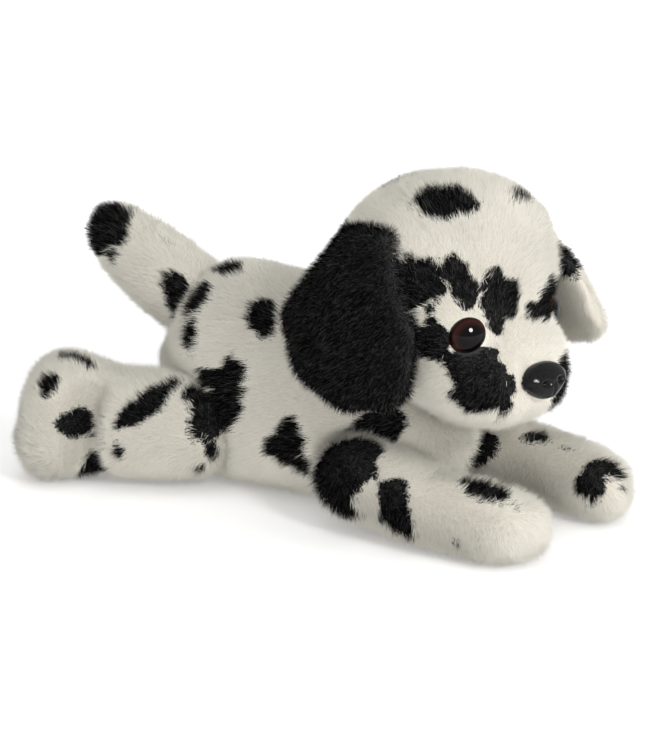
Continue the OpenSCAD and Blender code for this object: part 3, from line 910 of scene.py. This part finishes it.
def make_wad(node, body):
    """A tuft of stuffing on which a limb moves."""
    name = f"{node}_tuft"
    obj = divided(remeshed(new_object(name, frame["nodes"][node].data.copy()), 2, 0.3 * MM))
    points, normals = surface(obj.data)
    lumps = np.minimum(0.3 * waves(points, 7 * MM, 61), 0.2) * MM
    set_corners(obj.data, points + normals * lumps[:, None])
    obj.data.materials.clear()
    obj.data.materials.append(STUFFING)
    shade_smooth(obj.data)
    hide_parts(node)
    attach(obj, body)


# ---- Floor, light and camera ----

def aim(obj, place, target):
    """Puts an object at a place and turns it to face a target."""
    obj.location = place
    obj.rotation_mode = "QUATERNION"
    obj.rotation_quaternion = (Vector(target) - Vector(place)).to_track_quat("-Z", "Y")


def from_angle(azimuth, elevation, distance, target):
    """The point at this azimuth, elevation and distance from a target."""
    a, e = math.radians(azimuth), math.radians(elevation)
    back = Vector((math.sin(a) * math.cos(e), -math.cos(a) * math.cos(e), math.sin(e)))
    return Vector(target) + back * distance


VIEW_AZIMUTH, VIEW_ELEVATION, VIEW_DISTANCE = 35, 17, 1.125
VIEW_TARGET = (-0.003, 0, 0.056)
VIEW_LENS = 112.3           # millimetres, on a sensor of this width
SENSOR_WIDTH = 36
KEY_PLACE = (66, 31)        # azimuth and elevation of the key light and of its highlight
FLOOR_SIZE = 60
FLOOR_GLOW = [(0.24, 0.20), (0.70, 0.62)]   # distance from the toy's middle, and how self-lit it is there
WORLD_STRENGTH = 0.62


def make_camera():
    """The camera, low in front of the dog's right shoulder."""
    data = bpy.data.cameras.new("camera")
    data.lens = VIEW_LENS
    data.sensor_width = SENSOR_WIDTH
    data.clip_start, data.clip_end = 0.05, 50
    camera = bpy.data.objects.new("camera", data)
    bpy.context.scene.collection.objects.link(camera)
    aim(camera, from_angle(VIEW_AZIMUTH, VIEW_ELEVATION, VIEW_DISTANCE, VIEW_TARGET), VIEW_TARGET)
    bpy.context.scene.camera = camera


def make_light(name, azimuth, elevation, distance, size, power, colour=(1, 1, 1), mirrored=False):
    """A soft round light aimed at the toy. A mirrored one only makes highlights, the others make none."""
    data = bpy.data.lights.new(name, "AREA")
    data.shape = "DISK"
    data.size = size
    data.energy = power
    data.color = colour
    light = bpy.data.objects.new(name, data)
    light.visible_diffuse = not mirrored
    light.visible_glossy = mirrored
    bpy.context.scene.collection.objects.link(light)
    aim(light, from_angle(azimuth, elevation, distance, VIEW_TARGET), VIEW_TARGET)


def make_floor():
    """A large pale floor, a little self-lit, less so near the toy, where its shadow falls."""
    bm = bmesh.new()
    bmesh.ops.create_grid(bm, x_segments=1, y_segments=1, size=FLOOR_SIZE)
    mesh = bpy.data.meshes.new("floor")
    bm.to_mesh(mesh)
    bm.free()
    floor = new_object("floor", mesh)
    material, nodes, links, shader = new_material("floor_white")
    shader.inputs["Base Color"].default_value = (0.9, 0.9, 0.9, 1)
    shader.inputs["Roughness"].default_value = 0.9
    shader.inputs["Emission Color"].default_value = (1, 1, 1, 1)
    place = nodes.new("ShaderNodeTexCoord")
    away = nodes.new("ShaderNodeVectorMath")
    away.operation = "LENGTH"
    links.new(place.outputs["Object"], away.inputs[0])
    glow = ramp(nodes, links, away.outputs["Value"], [(reach, grey(level)) for reach, level in FLOOR_GLOW])
    links.new(glow, shader.inputs["Emission Strength"])
    mesh.materials.append(material)


def make_world():
    """Even white light from all round."""
    world = bpy.data.worlds.new("studio")
    world.use_nodes = True
    background = world.node_tree.nodes["Background"]
    background.inputs["Color"].default_value = (1, 1, 1, 1)
    background.inputs["Strength"].default_value = WORLD_STRENGTH
    bpy.context.scene.world = world


# ---- The toy ----

REPLACED = replaced_nodes()
WADS = {"neck_fill": "neck", "tail_root_fill": "tail_root"}
for side in SIDES:
    WADS[f"front_{side}_shoulder_fill"] = f"front_{side}_shoulder"
    WADS[f"hind_{side}_hip_fill"] = f"hind_{side}_hip"

skins = make_skins()
trees = {body: tree_of(skin) for body, skin in skins.items()}
for body, skin in skins.items():
    dress_cover(body, skin)
make_nose()
for side in SIDES:
    dress_node(f"{side}_eye_dome", eye_material(side))
    dress_node(f"{side}_eye_post", BLACK_PLASTIC)
dress_node("eye_washers", WASHER_PLASTIC)
dress_node("nose_washer", WASHER_PLASTIC)
for node, body in WADS.items():
    make_wad(node, body)


# ---- The studio ----

make_camera()
make_light("key", *KEY_PLACE, 1.6, 0.30, 8, (1, 0.99, 0.97))
make_light("catch", *KEY_PLACE, 1.5, 0.50, 50, mirrored=True)
make_light("right", 112, 16, 1.6, 0.9, 6)
make_light("fill", 32, 5, 1.8, 1.2, 9)
make_light("top", 40, 74, 1.6, 1.2, 6)
make_light("back", 215, 35, 1.8, 1.2, 3)
make_floor()
make_world()
bpy.context.scene.view_settings.view_transform = "Standard"
